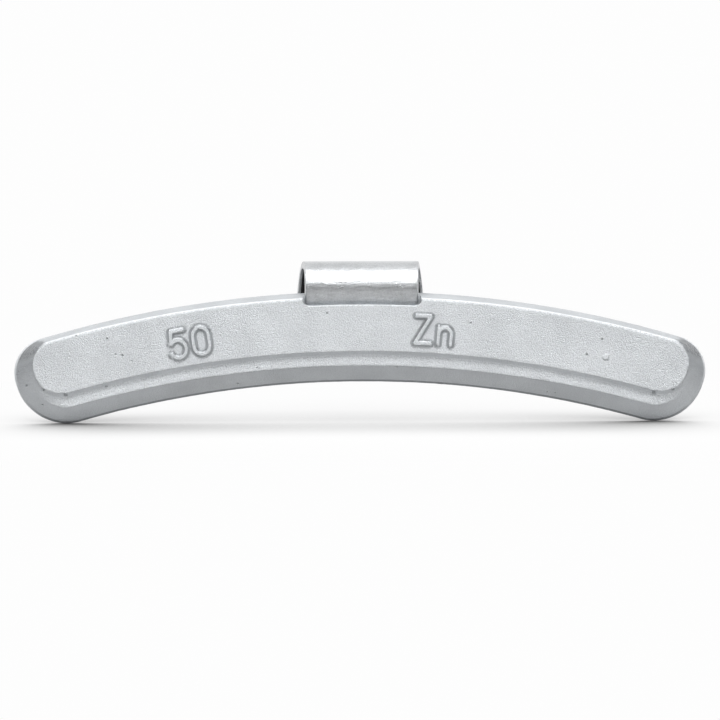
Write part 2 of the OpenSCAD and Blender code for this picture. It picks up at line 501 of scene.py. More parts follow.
# How far the last loops run on over the panel, before its grid
PANEL_RUN = 1.2 * MM
# Share of an inner corner over which the ledge has faded out
LEDGE_FADE = 0.75
CORNER_STEPS = 28
END_STEPS = 60

# Steps of the seat's rounds and of its floor
LIP_BACK_STEPS = 4
LIP_STEPS = 8
SEAT_CORNER_STEPS = 8
SEAT_FLOOR_STEPS = 24
# How far the seat's cutter reaches past the outer arc and past the panel, and how wide, in
# rounds of the lip, its front end opens, so that no wall of it ends in the panel
CUT_PAST_ARC = 2 * MM
CUT_PAST_PANEL = 0.6 * MM
CUT_OPENING = 1.4


def end_panel_edge(s):
    """How far the panel's edge lies in from an end."""
    return s.end_land_lean + (THICKNESS - s.end_land) * math.tan(s.end_slope)


def casting_profiles(s):
    """The three edge profiles, as (inset, h) points: inner arc, ends and outer arc."""
    slope = math.tan(s.slope)
    foot_h = THICKNESS - s.step_depth
    ledge_h = foot_h + s.ledge_rise
    slope_in = s.land_lean + (ledge_h - s.land) * slope
    foot_in = slope_in + s.ledge_width
    panel_in = foot_in + s.step_depth * slope
    # Each starts on the flat back, beyond the round of its edge.
    back = [(s.back_round * 2, 0, 0), (0, 0, s.back_round)]
    inner = rounded_path(back + [
        (s.land_lean, s.land, s.land_round),
        (slope_in, ledge_h, s.slope_round),
        (foot_in, foot_h, s.step_round),
        (panel_in, THICKNESS, s.step_round),
        (panel_in + PANEL_RUN, THICKNESS, 0),
    ])
    end_in = end_panel_edge(s)
    ends = rounded_path(back + [
        (s.end_land_lean, s.end_land, s.land_round),
        (end_in, THICKNESS, s.slope_round),
        (end_in + PANEL_RUN, THICKNESS, 0),
    ])
    lean = math.tan(s.draft) * THICKNESS
    outer = rounded_path(back + [(lean, THICKNESS, s.top_round), (lean + PANEL_RUN, THICKNESS, 0)])
    return [spread(path, LEVELS, BEND_WEIGHT) for path in (inner, ends, outer)]


def column_places(s, half_angle, marks):
    """Places of the columns along the arc from -1 to 1, closer together under the marks."""
    radius = s.flange_radius - s.drop
    reach = (marks.letter * MARK_REACH + marks.stroke) / radius
    fine = [(middle - reach, middle + reach) for middle in (marks.mass_angle, marks.metal_angle)]
    places = [-half_angle]
    while places[-1] < half_angle:
        inside = any(low <= places[-1] <= high for low, high in fine)
        places.append(places[-1] + (COLUMNS_FINE if inside else COLUMNS_COARSE) / radius)
    places = np.array(places)
    return -1 + 2 * (places - places[0]) / (places[-1] - places[0])


def corner_points(x, y, radius, from_a, to_a, from_h, to_h, fade=1.0):
    """Points round a corner at (x, y), whose height has eased over after the share fade of it."""
    points = []
    for i in range(1, CORNER_STEPS + 1):
        t = i / CORNER_STEPS
        a = from_a + (to_a - from_a) * t
        h = from_h + (to_h - from_h) * eased(min(1.0, t / fade))
        points.append((x + radius * math.cos(a), y + radius * math.sin(a), h))
    return points


def half_end(s, level, rho_inner, rho_outer, end_angle):
    """One end's loop at a level, from the inner arc round to the outer arc, drawn at +X.

    level holds (inset, h) for the inner arc, the end and the outer arc.
    Returns the points and the angles at which the two arcs run into the corners.
    """
    (in_inner, h_inner), (in_end, h_end), (in_outer, h_outer) = level
    panel_edge = end_panel_edge(s)
    share = min(1.0, in_end / panel_edge)
    # On the panel itself the corners shrink with the loop.
    within = max(0.0, in_end - panel_edge)
    r_inner = s.inner_corner + (s.panel_inner_corner - s.inner_corner) * share - within
    r_outer = s.outer_corner + (s.panel_outer_corner - s.outer_corner) * share - within
    side = s.outer_corner - in_end
    xi, xo = side - r_inner, side - r_outer
    yi = math.sqrt((rho_inner + in_inner + r_inner) ** 2 - xi**2)
    yo = math.sqrt((rho_outer - in_outer - r_outer) ** 2 - xo**2)
    points = corner_points(xi, yi, r_inner, math.atan2(-yi, -xi), 0.0, h_inner, h_end, LEDGE_FADE)
    points += [(side, yi + (yo - yi) * i / END_STEPS, h_end) for i in range(1, END_STEPS + 1)]
    points += corner_points(xo, yo, r_outer, 0.0, math.atan2(yo, xo), h_end, h_outer)
    points = np.array(points)
    points[:, :2] = turned(points[:, :2], -end_angle)
    return points, end_angle + math.atan2(xi, yi), end_angle + math.atan2(xo, yo)


def casting_loop(s, level, places, rho_inner, rho_outer, end_angle):
    """The closed loop of one level: inner arc, right end, outer arc, left end."""
    (in_inner, h_inner), _, (in_outer, h_outer) = level
    end, inner_a, outer_a = half_end(s, level, rho_inner, rho_outer, end_angle)
    inner = along_arc(rho_inner + in_inner, places * inner_a, h_inner)
    outer = along_arc(rho_outer - in_outer, places[::-1] * outer_a, h_outer)
    left = end[::-1] * np.array([-1, 1, 1])
    # The two end loops hold the corners' far points, which the arcs hold too.
    return np.concatenate([inner, end[:-1], outer, left[1:]])


def fill_panel(loop, across, up):
    """A grid of points inside a loop that starts at the grid's lower left corner.

    The grid is worked out in angle and radius, so its rows follow the arc.
    """
    flat = np.stack([np.arctan2(loop[:, 0], loop[:, 1]), np.hypot(loop[:, 0], loop[:, 1])], axis=1)
    bottom = flat[: across + 1]
    right = flat[across : across + up + 1]
    top = flat[across + up : 2 * across + up + 1][::-1]
    left = np.concatenate([flat[2 * across + up :], flat[:1]])[::-1]
    u = np.linspace(0, 1, across + 1)[None, :, None]
    v = np.linspace(0, 1, up + 1)[:, None, None]
    edges = (1 - v) * bottom[None] + v * top[None] + (1 - u) * left[:, None] + u * right[:, None]
    corners = ((1 - u) * (1 - v) * bottom[0] + u * (1 - v) * bottom[-1]
               + (1 - u) * v * top[0] + u * v * top[-1])
    a, r = np.moveaxis(edges - corners, -1, 0)
    return np.stack([r * np.sin(a), r * np.cos(a)], axis=-1)


def stand_up(points, s):
    """Turns plan points (x, distance from the axle, h) into the part's frame."""
    x, rho, h = np.moveaxis(np.asarray(points, float), -1, 0)
    return np.stack([x, BODY_HIGH.y - h, rho - s.flange_radius], axis=-1)


def casting_mesh(s, marks):
    """The whole casting before its seat is cut: loops round the sides, a grid on the panel."""
    half_length = (BODY_HIGH.x - BODY_LOW.x) / 2
    rho_outer = s.flange_radius - s.drop
    rho_inner = rho_outer - s.height
    end_angle = math.asin((half_length - s.outer_corner) / (rho_outer - s.outer_corner))
    places = column_places(s, end_angle, marks)
    loops = [
        casting_loop(s, level, places, rho_inner, rho_outer, end_angle)
        for level in zip(*casting_profiles(s))
    ]
    # The grid takes the last loop's place. Its lower left corner is half way round the left
    # inner corner.
    ring = len(loops[0])
    shift = CORNER_STEPS // 2
    across = len(places) - 1 + CORNER_STEPS
    up = END_STEPS + CORNER_STEPS
    panel_h = loops[-1][0][2]
    grid = fill_panel(np.roll(loops[-1], shift, axis=0), across, up).reshape(-1, 2)
    vertices = np.concatenate(loops[:-1] + [[(x, y, panel_h) for x, y in grid]])
    index = ring * LEVELS + np.arange((across + 1) * (up + 1)).reshape(up + 1, across + 1)
    rim = np.concatenate([index[0], index[1:, -1], index[-1, -2::-1], index[-2:0:-1, 0]])
    rows = [*np.arange(ring * LEVELS).reshape(LEVELS, ring), np.roll(rim, -shift)]
    faces = []
    for low, high in zip(rows, rows[1:]):
        faces += quads(low, high)
    for low, high in zip(index, index[1:]):
        faces += quads(low, high, closed=False)
    faces.append(rows[0][::-1])
    return mesh_from("cast_zinc_body", stand_up(vertices, s), faces)


def seat_levels(s, seat, clip):
    """Levels of the seat's cutter: how far its walls stand out, its floor's fall, its height."""
    leg_drop = s.drop + seat.depth - clip.front_bend * (1 + math.sin(clip.front_lean))
    face_h = THICKNESS - clip.setback - leg_drop * math.tan(clip.front_lean)
    levels = [(0.0, seat.fall, face_h - clip.thickness / 2), (0.0, seat.fall, face_h)]
    for i in range(LIP_BACK_STEPS + 1):
        a = math.pi / 2 * i / LIP_BACK_STEPS
        back_h = THICKNESS - seat.lip_width - seat.lip_back * math.cos(a)
        levels.append((0.0, seat.lip_fall * (1 - math.sin(a)), back_h))
    for i in range(LIP_STEPS + 1):
        a = math.pi / 2 * i / LIP_STEPS
        grow = seat.lip * (1 - math.cos(a))
        levels.append((grow, grow, THICKNESS - seat.lip * (1 - math.sin(a))))
    opening = seat.lip * CUT_OPENING
    return levels + [(opening, opening, THICKNESS + CUT_PAST_PANEL)]


def seat_cutter(s, seat, clip):
    """What the seat takes out of the outer edge: a notch whose front edge is rounded."""
    rho_outer = s.flange_radius - s.drop
    above = rho_outer + CUT_PAST_ARC
    loops = []
    for grow, fall, h in seat_levels(s, seat, clip):
        wall = clip.width / 2 + seat.gap + grow
        floor = rho_outer - seat.depth - fall
        radius = seat.corner + grow
        x = wall - radius
        y = math.sqrt((floor + radius) ** 2 - x**2)
        edge_a = math.atan2(x, y)
        corner = []
        for i in range(SEAT_CORNER_STEPS + 1):
            a = math.pi + (math.pi / 2 + edge_a) * i / SEAT_CORNER_STEPS
            corner.append((-x + radius * math.cos(a), y + radius * math.sin(a), h))
        shares = np.arange(1, SEAT_FLOOR_STEPS) / SEAT_FLOOR_STEPS
        bottom = along_arc(floor, edge_a * (2 * shares - 1), h)
        half = [(-wall, above, h), *corner]
        loops.append(np.array([*half, *bottom, *((-x, y, z) for x, y, z in half[::-1])]))
    rows = np.arange(len(loops) * len(loops[0])).reshape(len(loops), -1)
    faces = [rows[0][::-1], rows[-1]]
    for low, high in zip(rows, rows[1:]):
        faces += quads(low, high)
    mesh = mesh_from("seat_cutter", stand_up(np.concatenate(loops), s), faces)
    return new_object("seat_cutter", mesh)


# The marks

GLYPH_GAP = 0.29
# The number that notes how near a point lies to the foot of a stroke, where painted shade goes
MARK_FOOT_SHADE = "mark_foot"
# How far out the painted shade at a stroke's foot runs, in halves of the stroke's width
FOOT_SHADE_REACH = 1.4


def arc(cx, cy, rx, ry, from_deg, to_deg, steps=16):
    """Points along an ellipse's arc."""
    return [
        (cx + rx * math.cos(math.radians(a)), cy + ry * math.sin(math.radians(a)))
        for a in np.linspace(from_deg, to_deg, steps + 1)
    ]


# Each glyph's width and strokes, in a box that is 1 high
GLYPHS = {
    "5": (0.56, [[(0.53, 1.0), (0.08, 1.0), *arc(0.26, 0.33, 0.3, 0.33, 140, -150, 20)]]),
    "0": (0.58, [[*arc(0.29, 0.68, 0.29, 0.32, 0, 180), *arc(0.29, 0.32, 0.29, 0.32, 180, 360),
                  (0.58, 0.68)]]),
    "Z": (0.58, [[(0.03, 1.0), (0.55, 1.0), (0.0, 0.0), (0.58, 0.0)]]),
    "n": (0.47, [[(0.0, 0.63), (0.0, 0.0)], [*arc(0.235, 0.4, 0.235, 0.22, 180, 0), (0.47, 0.0)]]),
}


def mark_lines(s, marks, middle, text):
    """The strokes of one mark, laid along the arc on the panel."""
    glyphs = [GLYPHS[key] for key in text]
    radius = s.flange_radius - s.drop - marks.baseline
    lines = []
    at = -(sum(width for width, _ in glyphs) + GLYPH_GAP * (len(glyphs) - 1)) / 2
    for width, strokes in glyphs:
        for stroke in strokes:
            points = []
            for x, y in stroke:
                a = middle + (at + x) * marks.letter / (radius + marks.letter / 2)
                r = radius + y * marks.letter
                points.append((r * math.sin(a), r * math.cos(a), THICKNESS))
            lines.append(stand_up(points, s))
        at += width + GLYPH_GAP
    return lines


def raised_marks(t):
    """Raises the surface near the strokes: a rounded top and soft flanks."""
    lines = t.node("GeometryNodeCurveToMesh", {"Curve": t.shape("Strokes")}).outputs[0]
    away = t.node("GeometryNodeProximity", {0: lines}, target_element="EDGES").outputs["Distance"]
    half_foot = t.times(t.given["Foot Width"], 0.5)
    half_crown = t.times(t.given["Crown Width"], 0.5)
    inner = t.ramp(away, half_crown, half_foot)
    outer = t.ramp(away, half_foot, t.times(half_foot, FOOT_SHADE_REACH), 1.0, 0.0)
    rise = t.ramp(away, half_crown, half_foot, t.given["Raised"], 0.0)
    # Notes the painted shade round each stroke's foot, for the zinc's colour.
    noted = t.note(t.given["Geometry"], MARK_FOOT_SHADE, t.times(inner, outer))
    return noted, {"Offset": t.join(y=t.times(rise, -1.0))}


def cast_skin(t):
    """Makes the skin of a casting uneven: broad waves and small ripples along the normal."""
    place = t.node("GeometryNodeInputPosition").outputs[0]
    depth = 0.0
    for kind, detail in (("Wave", 1.0), ("Ripple", 2.0)):
        scale = t.math("DIVIDE", 1.0, t.given[f"{kind} Length"])
        bumps = t.node("ShaderNodeTexNoise", {"Vector": place, "Scale": scale, "Detail": detail})
        depth = t.plus(depth, t.times(bumps.outputs[0], t.given[f"{kind} Height"]))
    # Only inward, so that the casting never grows past its size.
    normal = t.node("GeometryNodeInputNormal").outputs[0]
    return t.given["Geometry"], {"Offset": t.vector("SCALE", normal, t.times(depth, -1.0))}


# The clip

# Vertices across and along the strip
STRIP_COLUMNS = 48
STRIP_ROWS = 220
# The sheared edges' rounds, and the least turn of an edge that gets one
EDGE_SEGMENTS = 3
EDGE_ANGLE = math.radians(60)
# The number that notes how far a point lies in from the strip's sides
RIM_GAP = "rim_gap"


def strip_path(runs):
    """The inner face of a bent strip, from the origin along +x, as (x, y) points.

    Each run is (straight length, turn, inside radius, thickness outside the bend).
    """
    at = np.array([0.0, 0.0])
    heading = 0.0
    points = [at]
    for straight, turn, inside, thickness in runs:
        at = at + straight * np.array([math.cos(heading), math.sin(heading)])
        points.append(at)
        if turn:
            sign = -1 if turn > 0 else 1
            radius = inside if turn > 0 else inside + thickness
            normal = np.array([-math.sin(heading), math.cos(heading)]) * sign
            centre = at + radius * normal
            points += swing(centre, at - centre, -turn)[1:]
            at = points[-1]
            heading -= turn
    return np.array(points)


def clip_path(s, seat, c):
    """The clip's inner face in the part's frame, from the shank's foot over the arch to the tip."""
    front_y = BODY_LOW.y + c.setback
    front_run = -(front_y + c.thickness + c.front_bend)
    leg_top = -c.front_bend * (1 + math.sin(c.front_lean))
    foot = -s.drop - seat.depth - c.shank
    leg = (leg_top - foot) / math.cos(c.front_lean)
    quarter = math.pi / 2
    front = strip_path([
        (front_run, quarter + c.front_lean, c.front_bend, c.thickness),
        (leg, 0, 0, 0),
    ])
    back = strip_path([
        (c.mouth / 2 - c.back_bend, quarter + c.back_lean, c.back_bend, c.thickness),
        (c.back_leg, -c.tip_turn, c.tip_bend, c.thickness),
        (c.tip, 0, 0, 0),
    ])
    front[:, 0] *= -1
    both = np.concatenate([front[::-1], back[1:]])
    return [(0.0, y, z) for y, z in both]


def bent_strip(t):
    """Lays a grid along the strip's path."""
    # The grid is 1 long, from -0.5 to 0.5, so that its Y gives the share of the path.
    grid = t.node("GeometryNodeMeshGrid", {
        "Size X": t.given["Width"], "Size Y": 1.0,
        "Vertices X": t.given["Columns"], "Vertices Y": t.given["Rows"],
    }).outputs["Mesh"]
    place = t.split(t.node("GeometryNodeInputPosition").outputs[0])
    sample = t.node("GeometryNodeSampleCurve", {
        "Curves": t.shape("Path"), "Factor": t.plus(place["Y"], 0.5),
    }, mode="FACTOR")
    on_path = t.split(sample.outputs["Position"])
    return grid, {"Position": t.join(place["X"], on_path["Y"], on_path["Z"])}


def taper(t):
    """Widens the bent strip from the front of the arch to its free end."""
    place = t.split(t.node("GeometryNodeInputPosition").outputs[0])
    behind = t.minus(place["Y"], t.given["Front"])
    bend = t.times(behind, t.given["Bend Widening"])
    top = t.times(behind, t.given["Top Widening"])
    leg = t.minus(top, t.times(place["Z"], t.given["Leg Widening"]))
    spare = t.node("ShaderNodeMath", {0: bend, 1: leg, 2: t.given["Blend"]}, operation="SMOOTH_MIN")
    share = t.math("DIVIDE", t.times(spare.outputs[0], 2.0), t.given["Width"])
    target = t.join(t.times(place["X"], t.plus(share, 1.0)), place["Y"], place["Z"])
    gap = t.minus(t.times(t.given["Width"], 0.5), t.math("ABSOLUTE", place["X"]))
    return t.note(t.given["Geometry"], RIM_GAP, gap), {"Position": target}


# Materials
#
# A tone runs from 0, dark, to 1, light. The numbers that a facing's ramp runs between are
# parts of a unit normal, and those of a noise's ramp are its own values.

NOISE_LOW, NOISE_HIGH = 0.3, 0.7

# The zinc: sizes of its grain, its clouds and its pits, the strength of each, and that of the
# painted shade
ZINC_COARSE, ZINC_FINE, ZINC_CLOUD = 0.6 * MM, 0.22 * MM, 6 * MM
PIT_SPACING, PIT_PATCH = 1.6 * MM, 3.1 * MM
ZINC_TONE, SPECK_TONE, CLOUD_TONE = 0.86, 0.34, 0.08
# Of the next line, the first darkens the real pits; the other two are painted shade, on faces that
# face nearly straight up or down and round the marks' feet.
PIT_TONE, FLAT_FACE_SHADE_TONE, FOOT_SHADE_TONE = 0.8, 0.55, 0.95
# How far painted shade scales down the colour of the ends' upper corners
CORNER_SHADE = 0.6
ZINC_METAL, ZINC_SPECULAR = 0.25, 0.25
ZINC_ROUGH, ZINC_SMOOTH, WORN_GLOSS = 0.52, 0.42, 0.2
ZINC_BUMP, PIT_BUMP = 0.28 * MM, 1.2
# Heights off the back between which the slopes turn into the lands under them; they bound the
# painted shade on the lower land and keep the ends' painted shade off the end lands
END_LAND_TOP, END_LAND_FULL = 1.2 * MM, 0.9 * MM
LAND_TOP, LAND_FULL = 0.85 * MM, 0.65 * MM
# Blemishes on the casting's front, as (x, z, size) in millimetres, and their ragged edge
PITS = (
    (49.67, -20.69, 0.7), (52.89, -20.18, 0.45), (-53.75, -19.84, 0.4), (-50.04, -20.69, 0.6),
    (-43.28, -19.33, 0.55), (-56.8, -19.33, 0.4), (-54.09, -22.56, 0.4), (40.63, -11.56, 0.4),
)
LUMPS = ((41.39, -14.56, 1.2),)
SPOT_CORE, SPOT_EDGE = 0.25, 0.6
RAGGED = 0.5 * MM

# The steel: sizes of its streaks, grain and clouds, and the scale that draws the streaks out
STREAK, STEEL_GRAIN, STEEL_CLOUD = 0.3 * MM, 0.28 * MM, 2.5 * MM
DRAWN_OUT = 0.22
STEEL_ROUGH, STEEL_SMOOTH = 0.34, 0.26
STEEL_BUMP = 0.06 * MM
# Width of the rim inside the arch that the painted shade leaves bare, and the run behind the
# casting over which the painted shade sets in
RIM_START, RIM_END = 0.35 * MM, 0.45 * MM
ARCH_SHADE_RUN = 1 * MM

# The stage: how rough it is, and how open a place still is where its shadow is darkest
MATT = 0.9
CONTACT_DARKEST = 0.1


def new_material(name):
    """An empty node material, its tree and its shader."""
    material = bpy.data.materials.new(name)
    material.use_nodes = True
    material.node_tree.nodes.clear()
    t = Tree(material.node_tree)
    return material, t, t.node("ShaderNodeBsdfPrincipled")


def close_metal(t, shader, inputs, depth, height):
    """Feeds a metal's shader, with a bump that is depth deep, and ends the material."""
    bump = t.node("ShaderNodeBump", {"Strength": 1.0, "Distance": depth, "Height": height})
    t.feed(shader, {**inputs, "Normal": bump.outputs[0]})
    t.node("ShaderNodeOutputMaterial", {"Surface": shader.outputs[0]})


def noise(t, place, size, detail=2.0, rough=0.5):
    """A noise value whose features are about size metres across."""
    return t.node("ShaderNodeTexNoise", {
        "Vector": place, "Scale": 1 / size, "Detail": detail, "Roughness": rough,
    }).outputs[0]


def vary(t, value, low, high, smooth=False):
    """A noise value spread out from low to high."""
    return t.ramp(value, NOISE_LOW, NOISE_HIGH, low, high, smooth)


def spot(t, flat, x, z, size):
    """1 inside a spot on the front, at (x, z) and size across in millimetres, and 0 outside it."""
    away = t.vector("DISTANCE", flat, (x * MM, 0.0, z * MM))
    return t.ramp(away, SPOT_CORE * size * MM, SPOT_EDGE * size * MM, 1.0, 0.0)


def zinc_blemishes(t, place, ahead):
    """Where the casting's front has a pit, and where a lump: 1 there and 0 elsewhere."""
    cells = t.node("ShaderNodeTexVoronoi", {"Vector": place, "Scale": 1 / PIT_SPACING})
    patch = t.ramp(noise(t, place, PIT_PATCH, 1.0), 0.62, 0.7)
    pit = t.times(t.ramp(cells.outputs["Distance"], 0.07, 0.17, 1.0, 0.0), patch)
    ragged = t.node("ShaderNodeTexNoise", {"Vector": place, "Scale": 1 / RAGGED}).outputs["Color"]
    flat = t.vector("ADD", place, t.vector("SCALE", ragged, RAGGED))
    flat = t.vector("ADD", flat, (-RAGGED / 2,) * 3)
    flat = t.vector("MULTIPLY", flat, (1.0, 0.0, 1.0))
    for x, z, size in PITS:
        pit = t.math("MAXIMUM", pit, spot(t, flat, x, z, size))
    lump = 0.0
    for x, z, size in LUMPS:
        lump = t.math("MAXIMUM", lump, spot(t, flat, x, z, size))
    return t.times(pit, ahead), t.times(lump, ahead)


def zinc_faces(t, place, facing):
    """Shares of painted shade: faces that face up or down, end slopes, lower land, upper corners.
    """
    depth = t.split(place)["Y"]
    end_land = t.ramp(depth, BODY_HIGH.y - END_LAND_TOP, BODY_HIGH.y - END_LAND_FULL)
    land = t.ramp(depth, BODY_HIGH.y - LAND_TOP, BODY_HIGH.y - LAND_FULL)
    # Painted shade on faces that face nearly straight up or down, such as the outer face.
    flat_face_shade = t.ramp(t.math("ABSOLUTE", facing["Z"]), 0.8, 0.97)
    sideways = t.times(t.ramp(t.math("ABSOLUTE", facing["X"]), 0.25, 0.5), t.minus(1.0, end_land))
    # Painted shade on the end slopes, with less of it where they face down.
    ends = t.times(sideways, t.ramp(facing["Z"], -0.45, 0.2, 0.05, 1.0))
    # Painted shade on the downward-facing land along the inner arc, next to the back.
    lower_land_shade = t.times(t.ramp(t.times(facing["Z"], -1.0), 0.5, 0.8), land)
    # Painted shade on the ends' upper corners.
    corners = t.times(sideways, t.ramp(facing["Z"], 0.1, 0.4))
    return flat_face_shade, ends, lower_land_shade, corners


def zinc_material(colours):
    """Cast zinc: satin, with a fine grain, faint clouds, a few dark pits and painted shade in
    places.
    """
    material, t, shader = new_material("cast_zinc")
    coords = t.node("ShaderNodeTexCoord").outputs
    place, facing = coords["Object"], t.split(coords["Normal"])
    ahead = t.times(facing["Y"], -1.0)
    front = t.ramp(ahead, 0.75, 0.95, 0.35, 1.0)
    coarse = noise(t, place, ZINC_COARSE, 2.0, 0.6)
    fine = noise(t, place, ZINC_FINE, 3.0, 0.75)
    cloud = noise(t, place, ZINC_CLOUD)
    pit, lump = zinc_blemishes(t, place, t.ramp(ahead, 0.2, 0.5))
    # Masks of painted shade on the casting's faces.
    flat_face_shade, ends, lower_land_shade, corners = zinc_faces(t, place, facing)
    # Painted shade round the feet of the marks' strokes.
    foot = t.node("ShaderNodeAttribute", attribute_name=MARK_FOOT_SHADE).outputs["Fac"]
    speck = t.times(vary(t, fine, -SPECK_TONE, SPECK_TONE), front)
    tone = t.plus(t.plus(speck, ZINC_TONE), vary(t, cloud, -CLOUD_TONE, CLOUD_TONE, smooth=True))
    # The pits are the zinc's own; the other darkenings are painted shade.
    for dark, strength in ((pit, PIT_TONE), (flat_face_shade, FLAT_FACE_SHADE_TONE), (ends, 1.0),
                           (lower_land_shade, 1.0), (foot, FOOT_SHADE_TONE)):
        tone = t.minus(tone, t.times(dark, strength))
    base = t.mix(tone, colours.zinc_dark, colours.zinc)
    # The edges that face the light are worn smooth.
    worn = t.times(t.ramp(facing["Z"], 0.15, 0.35), t.ramp(facing["Z"], 0.7, 0.9, 1.0, 0.0))
    height = t.plus(t.plus(t.times(coarse, 0.5), fine), lump)
    height = t.minus(t.times(height, front), t.times(pit, PIT_BUMP))
    close_metal(t, shader, {
        "Metallic": ZINC_METAL,
        "Specular IOR Level": ZINC_SPECULAR,
        # The colour is scaled down here by the painted shade on the ends' upper corners.
        "Base Color": t.vector("SCALE", base, t.ramp(corners, 0.0, 1.0, 1.0, CORNER_SHADE, False)),
        "Roughness": t.minus(vary(t, coarse, ZINC_ROUGH, ZINC_SMOOTH), t.times(worn, WORN_GLOSS)),
    }, ZINC_BUMP, height)
    return material


def steel_material(colours):
    """Rolled spring steel: glossier than the zinc, with fine streaks along the roll, and painted
    shade in the arch.
    """
    material, t, shader = new_material("rolled_spring_steel")
    coords = t.node("ShaderNodeTexCoord").outputs
    place = coords["Object"]
    stretched = t.vector("MULTIPLY", place, (DRAWN_OUT, 1.0, 1.0))
    streak = noise(t, stretched, STREAK, 4.0, 0.75)
    cloud = noise(t, place, STEEL_CLOUD, 3.0)
    grain = noise(t, place, STEEL_GRAIN, 3.0, 0.7)
    tone = t.plus(vary(t, streak, 0.55, 1.0), vary(t, cloud, -0.12, 0.12, smooth=True))
    tone = t.plus(tone, vary(t, grain, -0.35, 0.15))
    # Painted shade inside the arch, but for its rims: on what lies behind the casting and faces
    # forward.
    ahead = t.times(t.split(coords["Normal"])["Y"], -1.0)
    gap = t.node("ShaderNodeAttribute", attribute_name=RIM_GAP).outputs["Fac"]
    behind = t.ramp(t.split(place)["Y"], BODY_HIGH.y, BODY_HIGH.y + ARCH_SHADE_RUN)
    inside = t.times(t.times(behind, t.ramp(ahead, 0.2, 0.6)), t.ramp(gap, RIM_START, RIM_END))
    height = t.plus(t.plus(streak, grain), cloud)
    base = t.mix(tone, colours.steel_dark, colours.steel)
    close_metal(t, shader, {
        "Metallic": 1.0,
        "Base Color": t.mix(inside, base, colours.arch_inside),
        "Roughness": vary(t, streak, STEEL_ROUGH, STEEL_SMOOTH),
    }, STEEL_BUMP, height)
    return material


def seen_share(t):
    """1 for what the camera sees, also in metal and glass, and 0 for what only gives light."""
    rays = t.node("ShaderNodeLightPath").outputs
    seen = t.math("MAXIMUM", rays["Is Camera Ray"], rays["Is Glossy Ray"])
    return t.math("MAXIMUM", seen, rays["Is Transmission Ray"])


def stage_surface(t, shader, base, share, colours, brightness):
    """A matt surface that shows as plain white backdrop by the given share."""
    t.feed(shader, {"Base Color": base, "Roughness": MATT, "Specular IOR Level": 0.0})
    white = t.node("ShaderNodeEmission", {"Color": (*colours.backdrop, 1), "Strength": brightness})
    mixed = t.node("ShaderNodeMixShader", {0: share, 1: shader.outputs[0], 2: white.outputs[0]})
    t.node("ShaderNodeOutputMaterial", {"Surface": mixed.outputs[0]})


def floor_material(colours, st):
    """The pale floor, which takes the object's shadow and turns into white backdrop further out.

    To metal it also shows a dark card at each side and one in front, as a photographer lays them.
    """
    material, t, shader = new_material("pale_floor")
    camera = t.node("ShaderNodeLightPath").outputs["Is Camera Ray"]
    place = t.node("ShaderNodeTexCoord").outputs["Object"]
    at = t.split(place)
    ahead = t.times(at["Y"], -1.0)
    at_side = t.times(t.math("GREATER_THAN", t.math("ABSOLUTE", at["X"]), st.side_gap),
                      t.math("GREATER_THAN", ahead, 0.0))
    card = t.math("MAXIMUM", at_side, t.math("GREATER_THAN", ahead, st.front_gap))
    card = t.times(card, t.minus(1.0, camera))
    base = t.mix(card, t.mix(camera, colours.floor, colours.backdrop), colours.room)
    # How far a place on the floor lies outside the object's own footprint.
    beyond = t.vector("SUBTRACT", t.vector("ABSOLUTE", place), (BODY_HIGH.x, -BODY_LOW.y, 1.0))
    away = t.vector("LENGTH", t.vector("MAXIMUM", beyond, (0.0, 0.0, 0.0)))
    glow = t.times(camera, st.floor_glow)
    share = t.times(t.ramp(away, st.fade_start, st.fade_end, glow, 1.0), seen_share(t))
    share = t.times(share, t.minus(1.0, card))
    # Contact shadows are left out further away, where they would leave faint lines.
    near = t.node("ShaderNodeAmbientOcclusion", {"Distance": st.contact}).outputs["AO"]
    shadow = t.math("MAXIMUM", t.ramp(near, CONTACT_DARKEST, 1.0),
                    t.ramp(away, st.contact * 2, st.contact * 3))
    stage_surface(t, shader, base, share, colours, shadow)
    return material


def room_material(colours):
    """The dim room, which metal shows near the horizon; the camera sees it as backdrop."""
    material, t, shader = new_material("dim_room")
    camera = t.node("ShaderNodeLightPath").outputs["Is Camera Ray"]
    stage_surface(t, shader, (*colours.room, 1), camera, colours, 1.0)
    return material


# Operators

class WEIGHT_OT_casting(bpy.types.Operator):
    """Build the zinc casting with its seat, raised marks and cast skin"""

    bl_idname = "weight.casting"
    bl_label = "Casting"

    def execute(self, context):
        scene = context.scene
        s, marks = scene.weight_casting, scene.weight_marks
        material = zinc_material(scene.weight_colours)
        piece = new_object("cast_zinc_body", casting_mesh(s, marks))
        cutter = seat_cutter(s, scene.weight_seat, scene.weight_clip)
        cut = piece.modifiers.new("seat", "BOOLEAN")
        cut.object = cutter
        cut.solver = "EXACT"
        lines = mark_lines(s, marks, marks.mass_angle, "50")
        lines += mark_lines(s, marks, marks.metal_angle, "Zn")
        strokes = poly_curve("mark_strokes", lines)
        add_tree(piece, raised_marks, {
            "Strokes": strokes, "Foot Width": marks.stroke, "Crown Width": marks.crown,
            "Raised": marks.raised, "Material": material,
        })
        add_tree(piece, cast_skin, {
            "Wave Length": s.wave_length, "Wave Height": s.wave_height,
            "Ripple Length": s.ripple_length, "Ripple Height": s.ripple_height,
            "Material": material,
        })
        apply_modifiers(piece)
        remove(cutter, strokes)
        shade(piece)
        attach(piece, "root")
        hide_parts("cast_body")
        return {"FINISHED"}


